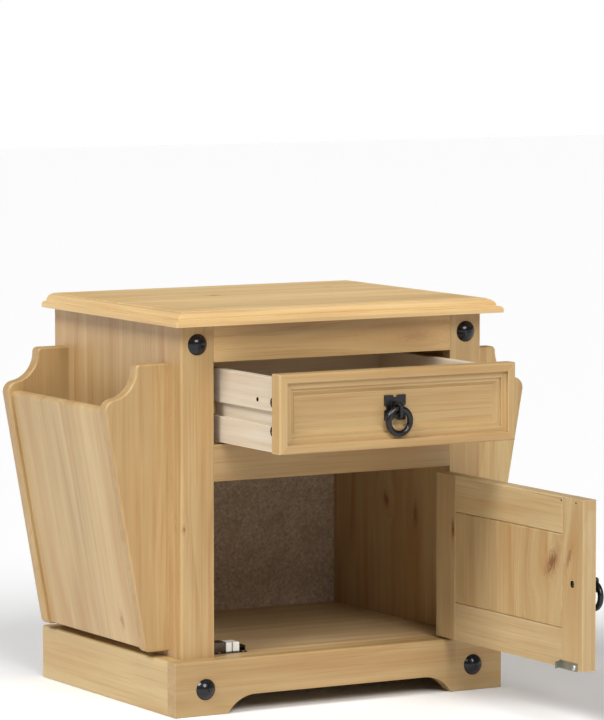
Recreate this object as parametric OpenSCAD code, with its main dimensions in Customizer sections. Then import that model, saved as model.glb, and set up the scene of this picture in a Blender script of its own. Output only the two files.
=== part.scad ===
// Bedside cabinet with one drawer, one door and a magazine rack on each side.
// The origin is on the floor, in the middle of the plinth's footprint. +X is to the
// right, +Y to the back and +Z up. The drawer stands part open and the door stands
// open at a right angle; both close from there, and the two ring pulls hang down.

/* [Cabinet] */
// Overall height, floor to table top
overall_h = 500; // [496:1:510]
// Width of the carcass over its two sides
cabinet_w = 434; // [420:1:460]
// Depth of the carcass, face frame to back edge
cabinet_d = 344; // [330:1:370]
// Thickness of the boards
board_t = 18; // [16:0.5:20]
// Width of the upright stiles of the face frame
stile_w = 46; // [42:1:50]
// Thickness of the hardboard back
back_t = 4; // [3:0.5:6]

/* [Table top] */
// How far the top stands over each side
top_side_overhang = 19; // [16:1:26]
// How far the top stands over the front
top_front_overhang = 25; // [20:1:30]
// Width of the moulded edging round the top
edging_w = 16; // [14:1:18]

/* [Plinth] */
// Height of the plinth
plinth_h = 68; // [60:1:80]
// Thickness of the plinth boards, which wrap round the carcass
plinth_t = 20; // [18:1:22]
// Height of the arch cut in the front plinth board
arch_h = 21.5; // [16:0.5:26]
// Length of each foot left beside the arch
foot_w = 75; // [65:1:90]

/* [Rails] */
// Height of the top rail
top_rail_h = 47; // [40:1:52]
// Height of the drawer opening
drawer_opening_h = 102; // [96:1:108]
// Height of the middle rail
middle_rail_h = 46; // [40:1:52]
// Height of the bottom rail behind the plinth
bottom_rail_h = 44; // [40:1:46]

/* [Drawer] */
// How far the drawer stands open
drawer_open = 160; // [100:5:200]
// Thickness of the drawer front
drawer_front_t = 20; // [18:1:22]
// Height of the drawer front
drawer_front_h = 97; // [92:1:98]
// Width of the mitred frame on the drawer front
frame_w = 27; // [24:1:30]
// Thickness of the flat field inside that frame
field_t = 7.4; // [6:0.2:9]
// Length of the drawer box behind its front
drawer_box_d = 290; // [260:5:300]
// Height of the drawer sides
drawer_side_h = 90.5; // [80:0.5:92]
// Thickness of the drawer sides and back
drawer_side_t = 12; // [10:1:15]
// Gap from the opening to the outside of each drawer side
drawer_side_gap = 10; // [6:1:12]

/* [Door] */
// Height of the door
door_h = 209.5; // [200:0.5:212]
// Thickness of the door
door_t = 19; // [18:0.5:20]
// Width of the door's stiles
door_stile_w = 45; // [40:1:50]
// Height of the door's top rail
door_top_rail_h = 46; // [40:1:50]
// Height of the door's bottom rail
door_bottom_rail_h = 48; // [42:1:54]
// Thickness of the door's panel
door_panel_t = 10; // [8:0.5:12]

/* [Magazine racks] */
// Height of the rack's cheeks
cheek_h = 358.5; // [340:0.5:370]
// Height of the outer shoulder above the cheek's foot
shoulder_h = 313.8; // [300:0.1:325]
// How far the shoulder stands out from the cabinet
rack_reach = 88.7; // [80:0.1:95]
// How far the cheek's foot stands out from the cabinet
rack_foot = 32; // [26:0.5:38]
// Width of the flat top of a cheek
cheek_top_w = 44; // [40:1:50]
// Gap between the plinth and the rack
rack_lift = 7; // [5:1:12]
// Distance of the front cheek behind the face frame
rack_setback = 34; // [28:1:40]
// Distance between the two cheeks
rack_l = 253; // [240:1:265]
// Thickness of the slanted outer panel, measured level
rack_panel_t = 15; // [12:0.5:18]
// How far that panel is set in from the cheeks' edges
rack_panel_recess = 5; // [3:0.5:8]

/* [Ring pulls] */
// Width of the square back plate
plate_w = 30; // [26:1:34]
// Radius of the ring, to the middle of its bar
ring_r = 15.4; // [14:0.1:17]
// Radius of the ring's round bar
ring_bar_r = 3.75; // [3:0.05:4]
// Distance from the back of the plate to the ring
ring_standoff = 12; // [11:0.5:14]

/* [Studs] */
// Diameter of the domed studs
stud_d = 27; // [24:1:32]
// Height of a stud's dome
stud_rise = 8; // [6:0.5:10]

/* [Hidden] */
$fn = 64;

half_w = cabinet_w / 2;
half_opening = half_w - stile_w;
half_plinth = half_w + plinth_t;
half_top = half_w + top_side_overhang;
half_inside = half_w - board_t;

// Depths: the face frame's front, the back edge and the middle of the footprint
front = -(cabinet_d - plinth_t) / 2;
back = front + cabinet_d;
frame_back = front + board_t;
back_panel_front = back - back_t;
plinth_front_y = front - plinth_t;

// Heights of the face frame's openings
top_under = overall_h - board_t;
drawer_opening_top = top_under - top_rail_h;
drawer_opening_bottom = drawer_opening_top - drawer_opening_h;
door_opening_top = drawer_opening_bottom - middle_rail_h;

// Softened arrises
stile_round = 3.5;
plinth_round = 3;

// Drawer
drawer_gap = 3;
half_front = half_opening - drawer_gap;
front_bottom = drawer_opening_bottom + 2.5;
front_face = front - drawer_open;
front_rear = front_face + drawer_front_t;
box_back = front_rear + drawer_box_d;
half_box = half_opening - drawer_side_gap;
half_box_inside = half_box - drawer_side_t;
drawer_back_h = 75;
drawer_bottom_t = 4;
drawer_bottom_lift = 7.5;
drawer_bottom_groove = 5;
groove_lift = 32;
groove_h = 18;
groove_depth = 6;
runner_gap = 1;
runner_front_gap = 4;
side_hole_r = 3;
side_hole_depth = 8;
side_hole_back = 48;
side_hole_lift = 61.5;
cam_r = 6;
cam_depth = 8;
cam_sink = 1.2;
cam_back = 10;
cam_lifts = [25.5, 60.5];
cam_fit = 0.7;

// Door, in its closed place; it hangs on the pin at the right-hand stile
pin_x = half_opening - 1;
pin_y = front - 0.5;
hinge_gap = 2;
latch_gap = 3;
door_open_angle = 90;
door_right = half_opening - hinge_gap;
door_left = -half_opening + latch_gap;
door_bottom = plinth_h + 3;
door_inner_face = front + door_t;
panel_left = door_left + door_stile_w;
panel_right = door_right - door_stile_w;
panel_bottom = door_bottom + door_bottom_rail_h;
panel_top = door_bottom + door_h - door_top_rail_h;
groove_chamfer = 1.5;
small_hole_xs = [-152.2, -119.8];
small_hole_r = 1.4;
small_hole_depth = 5;
small_hole_drop = 5;
door_moulding_w = 12;

// Butt hinges
hinge_h = 40;
hinge_inset = 34;
knuckle_r = 2.5;
knuckle_gap = 0.35;
knuckle_h = (hinge_h - 2 * knuckle_gap) / 3;
middle_knuckle = knuckle_h + knuckle_gap;
leaf_t = 0.8;
leaf_w = 15;
hinge_pin_r = 1.25;
hinge_bore_r = 1.3;
knuckle_relief = 0.7;
hinge_heights = [door_bottom + hinge_inset, door_bottom + door_h - hinge_inset - hinge_h];

// Catch inside the door opening and its strike on the door
catch_x = -160;
catch_w = 46;
catch_housing_w = 18;
catch_block_w = 19;
catch_front = front + 23;
catch_d = 18;
catch_h = 13;
catch_base_t = 1.2;
catch_notch_w = 1.6;
catch_cheek_t = 1;
catch_cheek_h = 8;
strike_t = 1.2;
strike_w = 39;
strike_h = 10;
strike_bottom = plinth_h + 2;
strike_tongue = 7;
strike_x = -158;
strike_lip = 1.6;

// Magazine racks
cheek_bottom = plinth_h + rack_lift;
rack_slope = (rack_reach - rack_foot) / shoulder_h;
neck_h = 322.7;
rack_panel_bottom = cheek_bottom + 3;
rack_panel_top = cheek_bottom + 305;
rack_floor_t = 9;
rack_front = front + rack_setback;
rack_inside_front = rack_front + board_t;
rack_inside_back = rack_inside_front + rack_l;

// Ring pulls
plate_h = 31;
plate_t = 2.5;
bite_r = 3;
pull_pivot_drop = 0.5;
lug_root_w = 13;
lug_tip_w = 4;
lug_r = 7.7;
lug_bore_r = 4.8;
lug_tip = [15.2, -9.2];
lug_tip_r = 3;
lug_length = lug_tip[0] + lug_tip_r;
bolt_r = 2;
bolt_head_r = 3.6;
bolt_head_t = 2.2;
bolt_sink = 3;
bolt_seat_r = 4.7;
drawer_pull_z = front_bottom + drawer_front_h / 2;
drawer_pull_y = front_rear - field_t;
door_pull_x = door_left + door_stile_w / 2;
door_pull_z = door_bottom + door_h / 2;

// ---------------------------------------------------------------- outlines

// The points of an arc that rounds corner b of the path a, b, c at radius r
function fillet(a, b, c, r, steps = 8) =
  let (u = (a - b) / norm(a - b), w = (c - b) / norm(c - b),
       half = acos(u * w) / 2,
       centre = b + (u + w) / norm(u + w) * r / sin(half),
       from = b + u * r / tan(half) - centre, to = b + w * r / tan(half) - centre,
       a0 = atan2(from[1], from[0]),
       turn = atan2(from[0] * to[1] - from[1] * to[0], from * to))
  [for (i = [0:steps]) centre + r * [cos(a0 + turn * i / steps), sin(a0 + turn * i / steps)]];

// A closed outline whose corners are each rounded at their own radius, 0 for a sharp one
function rounded(points, radii, steps = 8) =
  let (n = len(points))
  [for (i = [0:n - 1])
    each radii[i] == 0 ? [points[i]]
      : fillet(points[(i + n - 1) % n], points[i], points[(i + 1) % n], radii[i], steps)];

// ---------------------------------------------------------------- building blocks

module box(x, y, z) {
  translate([x[0], y[0], z[0]]) cube([x[1] - x[0], y[1] - y[0], z[1] - z[0]]);
}

// The right-hand twin of a left-hand piece
module twin() { mirror([1, 0, 0]) children(); }

// An outline drawn in X and Z, run along Y
module run_back(from, to) {
  translate([0, to, 0]) rotate([90, 0, 0]) linear_extrude(to - from) children();
}

// An outline drawn in Y and Z, run along X
module run_across(from, to) {
  translate([from, 0, 0]) rotate([90, 0, 90]) linear_extrude(to - from) children();
}

// A moulding along X whose back edge lies on the X axis: the outline runs from 0 to w
// across it, and each end is mitred or square
module mitred_strip(length, w, mitre_end = true) {
  intersection() {
    run_across(0, length) children();
    linear_extrude(60)
      polygon([[0, 0], [length, 0], [mitre_end ? length - w : length, w], [w, w]]);
  }
}

// ---------------------------------------------------------------- table top

// Section of the edging, from its outer edge in: square edge, bead, step and ovolo
module edging_section() {
  bead_top = 8.5;
  bead_back = edging_w - 9;
  round_r = 9.75;
  round_middle = [edging_w, board_t - 1 - round_r];
  round_end = 90 + asin(9 / round_r);
  polygon(concat([[0, 0], [edging_w, 0]],
    [for (a = [90:(round_end - 90) / 8:round_end + 0.01]) round_middle + round_r * [cos(a), sin(a)]],
    rounded([[bead_back, bead_top + 0.5], [bead_back, bead_top], [0, bead_top - 1], [0, 0]],
            [0, 0, 4.2, 0], 6)));
}

module top_panel() {
  color("burlywood")
    box([-half_top + edging_w, half_top - edging_w],
        [front - top_front_overhang + edging_w, back], [top_under, overall_h]);
}

module top_edging_front() {
  color("burlywood")
    translate([-half_top, front - top_front_overhang, top_under])
      mitred_strip(2 * half_top, edging_w) edging_section();
}

module top_edging_left() {
  color("burlywood")
    translate([-half_top, front - top_front_overhang, top_under]) mirror([1, -1, 0])
      mitred_strip(cabinet_d + top_front_overhang, edging_w, false) edging_section();
}

module top_edging_right() { twin() top_edging_left(); }

// ---------------------------------------------------------------- carcass

module left_side_panel() {
  color("tan") box([-half_w, -half_inside], [frame_back, back], [0, top_under]);
}

module right_side_panel() { twin() left_side_panel(); }

// The stile's outer front arris is rounded
module stile_outline() {
  polygon(rounded([[-half_w, front], [-half_opening, front], [-half_opening, frame_back],
                   [-half_w, frame_back]], [stile_round, 0, 0, 0]));
}

module left_stile() {
  color("tan") linear_extrude(top_under) stile_outline();
}

// The right stile is let in for the hinge knuckles
module right_stile() {
  color("tan") difference() {
    twin() left_stile();
    for (z = hinge_heights)
      translate([pin_x, pin_y, z - knuckle_relief])
        cylinder(r = knuckle_r + knuckle_relief, h = hinge_h + 2 * knuckle_relief);
  }
}

module rail(bottom, height) {
  box([-half_opening, half_opening], [front, frame_back], [bottom, bottom + height]);
}

module top_rail() { color("tan") rail(drawer_opening_top, top_rail_h); }

module middle_rail() { color("tan") rail(door_opening_top, middle_rail_h); }

module bottom_rail() { color("tan") rail(plinth_h - bottom_rail_h, bottom_rail_h); }

module rear_top_rail() {
  color("tan")
    box([-half_inside, half_inside], [back_panel_front - board_t, back_panel_front],
        [top_under - 40, top_under]);
}

module back_panel() {
  color("saddlebrown")
    box([-half_inside, half_inside], [back_panel_front, back],
        [plinth_h - board_t, top_under]);
}

module compartment_floor() {
  color("tan")
    box([-half_inside, half_inside], [frame_back, back_panel_front],
        [plinth_h - board_t, plinth_h]);
}

// Two battens fix the top to the sides
module top_battens() {
  color("tan")
    for (side = [-1, 1])
      translate([side * (half_inside - board_t / 2), 0, 0])
        box([-board_t / 2, board_t / 2], [frame_back, back_panel_front - board_t],
            [top_under - board_t, top_under]);
}

// The runner lies in the groove of the drawer side
module left_drawer_runner() {
  color("tan")
    box([-half_inside, -half_box + groove_depth - runner_gap],
        [frame_back + runner_front_gap, back_panel_front - 10],
        [front_bottom + groove_lift + runner_gap,
         front_bottom + groove_lift + groove_h - runner_gap]);
}

module right_drawer_runner() { twin() left_drawer_runner(); }

// ---------------------------------------------------------------- plinth

// Arched front board, its top front arris rounded
module plinth_front() {
  arch_r = 47;
  toe = half_plinth - foot_w;
  spring = toe - sqrt(2 * arch_r * arch_h - arch_h * arch_h);
  arc = [for (i = [0:10])
    let (a = asin((toe - spring) / arch_r) * i / 10)
    [spring + arch_r * sin(a), arch_h - arch_r * (1 - cos(a))]];
  mirrored_arc = [for (p = arc) [-p[0], p[1]]];
  color("tan") difference() {
    run_across(-half_plinth, half_plinth)
      polygon(rounded([[plinth_front_y, 0], [front, 0], [front, plinth_h],
                       [plinth_front_y, plinth_h]], [0, 0, 0, plinth_round]));
    run_back(plinth_front_y - 1, front + 1)
      polygon(concat(mirrored_arc, [[-toe, -1], [toe, -1]],
                     [for (i = [10:-1:0]) arc[i]]));
  }
}

module plinth_left() {
  color("tan") run_back(front, back)
    polygon(rounded([[-half_plinth, 0], [-half_w, 0], [-half_w, plinth_h],
                     [-half_plinth, plinth_h]], [0, 0, 0, plinth_round]));
}

module plinth_right() { twin() plinth_left(); }

module plinth_back() {
  color("tan")
    box([-half_inside, half_inside], [back - board_t, back], [0, plinth_h - board_t]);
}

// ---------------------------------------------------------------- studs

// A low dome on a thin rim; it faces the front
module stud() {
  dome_r = (stud_d * stud_d / 4 + stud_rise * stud_rise) / (2 * stud_rise);
  rotate([90, 0, 0]) intersection() {
    translate([0, 0, stud_rise - dome_r]) sphere(r = dome_r, $fn = 96);
    cylinder(d = stud_d - 0.4, h = stud_rise + 1);
  }
}

module front_studs() {
  stile_middle = half_w - stile_w / 2;
  color("black")
    for (side = [-1, 1]) {
      translate([side * stile_middle, front, top_under - 24]) stud();
      translate([side * stile_middle, plinth_front_y, 32.5]) stud();
    }
}

// ---------------------------------------------------------------- magazine racks

// How far the cheek's slanted edge stands out at a height above the cheek's foot
function slant(h) = rack_foot + rack_slope * h;

// Outline of a cheek, out from the cabinet and up from its foot
module cheek_outline() {
  polygon(rounded([[0, 0], [rack_foot, 0], [rack_reach, shoulder_h],
                   [cheek_top_w, neck_h], [cheek_top_w, cheek_h], [0, cheek_h]],
                  [0, 8, 14, 36, 6, 0], 12));
}

module left_cheek(y) {
  color("tan") translate([-half_w, 0, cheek_bottom])
    run_back(y, y + board_t) mirror([1, 0, 0]) cheek_outline();
}

module left_rack_front_cheek() { left_cheek(rack_front); }

module left_rack_back_cheek() { left_cheek(rack_inside_back); }

// The slanted outer panel, its top edge rounded
module left_rack_panel() {
  low = rack_panel_bottom - cheek_bottom;
  high = rack_panel_top - cheek_bottom;
  outer_low = slant(low) - rack_panel_recess;
  outer_high = slant(high) - rack_panel_recess;
  color("tan") translate([-half_w, 0, cheek_bottom])
    run_back(rack_inside_front, rack_inside_back) mirror([1, 0, 0])
      polygon(rounded([[outer_low - rack_panel_t, low], [outer_low, low],
                       [outer_high, high], [outer_high - rack_panel_t, high]],
                      [0, 1.5, 6, 4]));
}

// The floor fits between the cabinet's side and the slanted panel
module left_rack_floor() {
  low = rack_panel_bottom - cheek_bottom;
  high = low + rack_floor_t;
  inset = rack_panel_recess + rack_panel_t;
  color("tan") translate([-half_w, 0, cheek_bottom])
    run_back(rack_inside_front, rack_inside_back) mirror([1, 0, 0])
      polygon([[0, low], [slant(low) - inset, low], [slant(high) - inset, high], [0, high]]);
}

module right_rack_front_cheek() { twin() left_rack_front_cheek(); }

module right_rack_back_cheek() { twin() left_rack_back_cheek(); }

module right_rack_panel() { twin() left_rack_panel(); }

module right_rack_floor() { twin() left_rack_floor(); }

// ---------------------------------------------------------------- ring pull

// Back plate with a bite out of each side and a lug that the ring passes through.
// The plate's back lies in the XZ plane and the lug points to the front.
module pull_plate() {
  lug_axis = [ring_standoff, -pull_pivot_drop];
  difference() {
    union() {
      run_back(-plate_t, 0) difference() {
        square([plate_w, plate_h], center = true);
        for (side = [-1, 1]) {
          translate([side * plate_w / 2, 0]) circle(r = bite_r);
          translate([0, side * plate_h / 2]) circle(r = bite_r);
        }
      }
      intersection() {
        run_across(-lug_root_w / 2, lug_root_w / 2) mirror([1, 0, 0]) {
          translate(lug_axis) circle(r = lug_r);
          translate(lug_tip) circle(r = lug_tip_r);
          polygon([[ring_standoff - 2, -lug_r], [lug_tip[0] - 2.5, lug_tip[1] - 1.6],
                   [lug_tip[0] + 2.9, lug_tip[1] + 0.7], [ring_standoff + 7.4, -3.5]]);
          polygon([[plate_t / 2, -5], [ring_standoff, -lug_r - 0.2], [ring_standoff, 6.5],
                   [plate_t / 2, 6]]);
        }
        translate([0, 0, -plate_h]) linear_extrude(2 * plate_h)
          polygon([[-lug_root_w / 2, 0], [lug_root_w / 2, 0],
                   [lug_tip_w / 2, -lug_length], [-lug_tip_w / 2, -lug_length]]);
      }
    }
    translate([-plate_w, -ring_standoff, -pull_pivot_drop]) rotate([0, 90, 0])
      cylinder(r = lug_bore_r, h = 2 * plate_w);
  }
}

// The ring hangs from the lug, in a plane level with the lug's bore
module pull_ring() {
  translate([0, -ring_standoff, -pull_pivot_drop - ring_r]) rotate([90, 0, 0])
    rotate_extrude($fn = 96) translate([ring_r, 0]) circle(r = ring_bar_r, $fn = 32);
}

// Threaded bolt and its pan head, from the back of the plate to depth behind it
module pull_bolt(depth) {
  rotate([-90, 0, 0]) {
    cylinder(r = bolt_r, h = depth);
    translate([0, 0, depth - bolt_head_t]) cylinder(r = bolt_head_r, h = bolt_head_t);
  }
}

// ---------------------------------------------------------------- drawer

// Section of the drawer front's frame, from its outer edge in
module frame_section() {
  polygon(rounded([[0, 0], [frame_w, 0], [frame_w, field_t], [22.5, 11.4], [18.5, 11.6],
                   [18.5, 14.2], [11, 15], [11, drawer_front_t], [0, drawer_front_t]],
                  [0, 0, 0, 0, 0, 0, 0, 1, 3], 6));
}

module drawer_frame_bottom() {
  color("tan") translate([-half_front, front_rear, front_bottom]) rotate([90, 0, 0])
    mitred_strip(2 * half_front, frame_w) frame_section();
}

module drawer_frame_top() {
  translate([0, 0, 2 * drawer_pull_z]) mirror([0, 0, 1]) drawer_frame_bottom();
}

module drawer_frame_left() {
  color("tan") translate([-half_front, front_rear, front_bottom]) mirror([1, 0, -1])
    rotate([90, 0, 0]) mitred_strip(drawer_front_h, frame_w) frame_section();
}

module drawer_frame_right() { twin() drawer_frame_left(); }

module drawer_field() {
  color("tan") difference() {
    box([-half_front + frame_w, half_front - frame_w], [drawer_pull_y, front_rear],
        [front_bottom + frame_w, front_bottom + drawer_front_h - frame_w]);
    translate([0, drawer_pull_y - 1, drawer_pull_z]) rotate([-90, 0, 0])
      cylinder(r = bolt_r + 0.1, h = field_t + 2);
  }
}

// Side with its runner groove, the groove for the bottom, pockets for the cams and a
// small blind hole
module drawer_left_side() {
  color("wheat") difference() {
    box([-half_box, -half_box_inside], [front_rear, box_back],
        [front_bottom, front_bottom + drawer_side_h]);
    box([-half_box - 1, -half_box + groove_depth], [front_rear - 1, box_back + 1],
        [front_bottom + groove_lift, front_bottom + groove_lift + groove_h]);
    box([-half_box_inside - drawer_bottom_groove, -half_box_inside + 1],
        [front_rear - 1, box_back + 1],
        [front_bottom + drawer_bottom_lift,
         front_bottom + drawer_bottom_lift + drawer_bottom_t]);
    for (lift = cam_lifts)
      translate([-half_box - 1, front_rear + cam_back, front_bottom + lift])
        rotate([0, 90, 0]) cylinder(r = cam_r + cam_fit, h = cam_sink + cam_depth + 1);
    translate([-half_box - 1, front_rear + side_hole_back, front_bottom + side_hole_lift])
      rotate([0, 90, 0]) cylinder(r = side_hole_r, h = side_hole_depth + 1);
  }
}

module drawer_right_side() { twin() drawer_left_side(); }

module drawer_back() {
  lift = drawer_bottom_lift + drawer_bottom_t;
  color("wheat")
    box([-half_box_inside, half_box_inside], [box_back - drawer_side_t, box_back],
        [front_bottom + lift, front_bottom + lift + drawer_back_h]);
}

module drawer_bottom() {
  half = half_box_inside + drawer_bottom_groove;
  color("wheat")
    box([-half, half], [front_rear, box_back],
        [front_bottom + drawer_bottom_lift,
         front_bottom + drawer_bottom_lift + drawer_bottom_t]);
}

// Round cams with a slot across them, sunk in the sides, pull the sides up to the front
module drawer_cams() {
  slot_w = 2;
  color("silver")
    for (side = [0, 1], lift = cam_lifts)
      mirror([side, 0, 0])
        translate([-half_box + cam_sink, front_rear + cam_back, front_bottom + lift])
          rotate([0, 90, 0]) difference() {
            cylinder(r = cam_r, h = cam_depth);
            translate([-slot_w / 2, -cam_r - 1, -1]) cube([slot_w, 2 * cam_r + 2, 3]);
          }
}

module drawer_pull_plate() {
  color("dimgray") translate([0, drawer_pull_y, drawer_pull_z]) pull_plate();
}

module drawer_pull_bolt() {
  color("silver") translate([0, drawer_pull_y, drawer_pull_z])
    pull_bolt(field_t + bolt_head_t);
}

module drawer_pull_ring() {
  color("dimgray") translate([0, drawer_pull_y, drawer_pull_z]) pull_ring();
}

// ---------------------------------------------------------------- door

// Turns a piece drawn in its closed place about the hinge pins to where it stands open
module opened() {
  translate([pin_x, pin_y, 0]) rotate([0, 0, door_open_angle])
    translate([-pin_x, -pin_y, 0]) children();
}

module knuckle_reliefs() {
  for (z = hinge_heights)
    translate([pin_x, pin_y, z - knuckle_relief])
      cylinder(r = knuckle_r + knuckle_relief, h = hinge_h + 2 * knuckle_relief);
}

// A blind hole near the top of the door's inner face
module small_hole(x) {
  translate([x, door_inner_face - small_hole_depth, door_bottom + door_h - small_hole_drop])
    rotate([-90, 0, 0]) cylinder(r = small_hole_r, h = small_hole_depth + 1);
}

// Outline of a stile seen from above, chamfered inside along its joint with the rails
module door_stile_outline(outer, inner) {
  c = (outer > inner ? 1 : -1) * 0.8;
  polygon([[outer, front], [inner, front], [inner, door_inner_face - abs(c)],
           [inner + c, door_inner_face], [outer, door_inner_face]]);
}

module door_hinge_stile() {
  color("tan") opened() difference() {
    translate([0, 0, door_bottom]) linear_extrude(door_h)
      door_stile_outline(door_right, panel_right);
    knuckle_reliefs();
  }
}

// The free stile is bored for the pull's bolt, with a sunk seat for the bolt's head
module door_free_stile() {
  color("tan") opened() difference() {
    translate([0, 0, door_bottom]) linear_extrude(door_h)
      door_stile_outline(door_left, panel_left);
    translate([door_pull_x, front - 1, door_pull_z]) rotate([-90, 0, 0])
      cylinder(r = bolt_r + 0.1, h = door_t + 2);
    translate([door_pull_x, door_inner_face - bolt_sink - bolt_head_t, door_pull_z])
      rotate([-90, 0, 0]) cylinder(r = bolt_seat_r, h = door_t);
    small_hole(small_hole_xs[0]);
  }
}

// A rail between the stiles; its edge towards the panel is chamfered inside
module door_rail(bottom, top, chamfer_top) {
  c = groove_chamfer;
  z = chamfer_top ? top : bottom;
  inward = chamfer_top ? -c : c;
  color("tan") opened() run_across(panel_left, panel_right)
    polygon([[front, chamfer_top ? bottom : top], [front, z], [door_inner_face - c, z],
             [door_inner_face, z + inward], [door_inner_face, chamfer_top ? bottom : top]]);
}

module door_top_rail() {
  color("tan") difference() {
    door_rail(panel_top, door_bottom + door_h, false);
    opened() small_hole(small_hole_xs[1]);
  }
}

module door_bottom_rail() { door_rail(door_bottom, panel_bottom, true); }

// The panel is flush with the frame inside and set back from it outside
module door_panel() {
  c = groove_chamfer;
  y = door_inner_face - door_panel_t;
  color("tan") opened() run_across(panel_left, panel_right)
    polygon([[y, panel_bottom], [door_inner_face - c, panel_bottom],
             [door_inner_face, panel_bottom + c], [door_inner_face, panel_top - c],
             [door_inner_face - c, panel_top], [y, panel_top]]);
}

// Four mitred strips frame the panel on the outside
module door_panel_moulding() {
  width = panel_right - panel_left;
  height = panel_top - panel_bottom;
  depth = door_t - door_panel_t - 1;
  module section() {
    polygon(rounded([[0, 0], [door_moulding_w, 0], [door_moulding_w, 2], [7, 4],
                     [4, depth], [0, depth]], [0, 0, 0.8, 3, 1.5, 0], 5));
  }
  color("tan") opened() translate([panel_left, door_inner_face - door_panel_t, panel_bottom]) {
    rotate([90, 0, 0]) mitred_strip(width, door_moulding_w) section();
    translate([0, 0, height]) mirror([0, 0, 1])
      rotate([90, 0, 0]) mitred_strip(width, door_moulding_w) section();
    mirror([1, 0, -1]) rotate([90, 0, 0]) mitred_strip(height, door_moulding_w) section();
    translate([width, 0, 0]) mirror([1, 0, 0])
      mirror([1, 0, -1]) rotate([90, 0, 0]) mitred_strip(height, door_moulding_w) section();
  }
}

module door_pull_plate() {
  color("dimgray") opened() translate([door_pull_x, front, door_pull_z]) pull_plate();
}

module door_pull_bolt() {
  color("silver") opened() translate([door_pull_x, front, door_pull_z])
    pull_bolt(door_t - bolt_sink);
}

module door_pull_ring() {
  color("dimgray") opened() translate([door_pull_x, front, door_pull_z]) pull_ring();
}

// ---------------------------------------------------------------- hinges and catch

// One third of a hinge's height, as a knuckle that starts at z
module knuckle(z, h) {
  translate([pin_x, pin_y, z]) cylinder(r = knuckle_r, h = h);
}

module pin_bore(z) {
  translate([pin_x, pin_y, z - 1]) cylinder(r = hinge_bore_r, h = hinge_h + 2);
}

// Leaves on the stile carry the end knuckles and are cut clear of the middle one
module hinge_frame_leaves() {
  color("goldenrod")
    for (z = hinge_heights)
      difference() {
        union() {
          box([half_opening - leaf_t, half_opening], [pin_y, front + leaf_w],
              [z, z + hinge_h]);
          knuckle(z, knuckle_h);
          knuckle(z + 2 * middle_knuckle, knuckle_h);
        }
        pin_bore(z);
        translate([pin_x, pin_y, z + knuckle_h])
          cylinder(r = knuckle_r + knuckle_gap, h = knuckle_h + 2 * knuckle_gap);
      }
}

// Leaves on the door carry the middle knuckle and are cut clear of the end ones
module hinge_door_leaves() {
  color("goldenrod") opened()
    for (z = hinge_heights)
      difference() {
        union() {
          box([door_right, door_right + leaf_t], [pin_y, front + leaf_w],
              [z, z + hinge_h]);
          knuckle(z + middle_knuckle, knuckle_h);
        }
        pin_bore(z);
        for (end = [0, 1])
          translate([pin_x, pin_y, z + end * (2 * middle_knuckle - knuckle_gap) - 1 + end])
            cylinder(r = knuckle_r + knuckle_gap, h = knuckle_h + knuckle_gap + 1);
      }
}

module hinge_pins() {
  color("goldenrod")
    for (z = hinge_heights)
      translate([pin_x, pin_y, z]) cylinder(r = hinge_pin_r, h = hinge_h);
}

// Steel housing on a base plate with a low cheek at its end, screwed to the floor
module catch_clip() {
  color("gray") {
    box([catch_x, catch_x + catch_w], [catch_front - 5, catch_front + catch_d + 2],
        [plinth_h, plinth_h + catch_base_t]);
    box([catch_x, catch_x + catch_housing_w], [catch_front, catch_front + catch_d],
        [plinth_h, plinth_h + catch_h + 1]);
    box([catch_x + catch_w - catch_cheek_t, catch_x + catch_w],
        [catch_front, catch_front + catch_d], [plinth_h, plinth_h + catch_cheek_h]);
  }
}

// Nylon block with a notch across its front; the strike's tongue passes beside it
module catch_block() {
  block_x = catch_x + catch_housing_w;
  color("white") difference() {
    box([block_x, block_x + catch_block_w], [catch_front - 1, catch_front + catch_d],
        [plinth_h + catch_base_t, plinth_h + catch_h]);
    box([block_x + 9 - catch_notch_w / 2, block_x + 9 + catch_notch_w / 2],
        [catch_front - 2, catch_front + catch_d / 2],
        [plinth_h, plinth_h + catch_h + 1]);
  }
}

// Angle plate on the door's inner face; its tongue points into the cabinet
module door_strike() {
  color("silver") opened() {
    box([strike_x, strike_x + strike_w], [door_inner_face, door_inner_face + strike_t],
        [strike_bottom, strike_bottom + strike_h]);
    box([strike_x + strike_w - strike_t, strike_x + strike_w],
        [door_inner_face, door_inner_face + strike_tongue],
        [strike_bottom, strike_bottom + strike_h - 1.5]);
    box([strike_x + strike_w - strike_t - 0.8, strike_x + strike_w + 0.4],
        [door_inner_face + strike_tongue - strike_lip, door_inner_face + strike_tongue],
        [strike_bottom, strike_bottom + strike_h - 1.5]);
  }
}

// ---------------------------------------------------------------- assembly

top_panel();
top_edging_front();
top_edging_left();
top_edging_right();
left_side_panel();
right_side_panel();
left_stile();
right_stile();
top_rail();
middle_rail();
bottom_rail();
rear_top_rail();
back_panel();
compartment_floor();
top_battens();
left_drawer_runner();
right_drawer_runner();
plinth_front();
plinth_left();
plinth_right();
plinth_back();
front_studs();
left_rack_front_cheek();
left_rack_back_cheek();
left_rack_panel();
left_rack_floor();
right_rack_front_cheek();
right_rack_back_cheek();
right_rack_panel();
right_rack_floor();
hinge_frame_leaves();
hinge_pins();
catch_clip();
catch_block();
drawer_field();
drawer_frame_top();
drawer_frame_bottom();
drawer_frame_left();
drawer_frame_right();
drawer_left_side();
drawer_right_side();
drawer_back();
drawer_bottom();
drawer_cams();
drawer_pull_plate();
drawer_pull_bolt();
drawer_pull_ring();
door_hinge_stile();
door_free_stile();
door_top_rail();
door_bottom_rail();
door_panel();
door_panel_moulding();
hinge_door_leaves();
door_strike();
door_pull_plate();
door_pull_bolt();
door_pull_ring();
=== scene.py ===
import math

import bmesh
import bpy
from mathutils import Matrix, Vector


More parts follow.
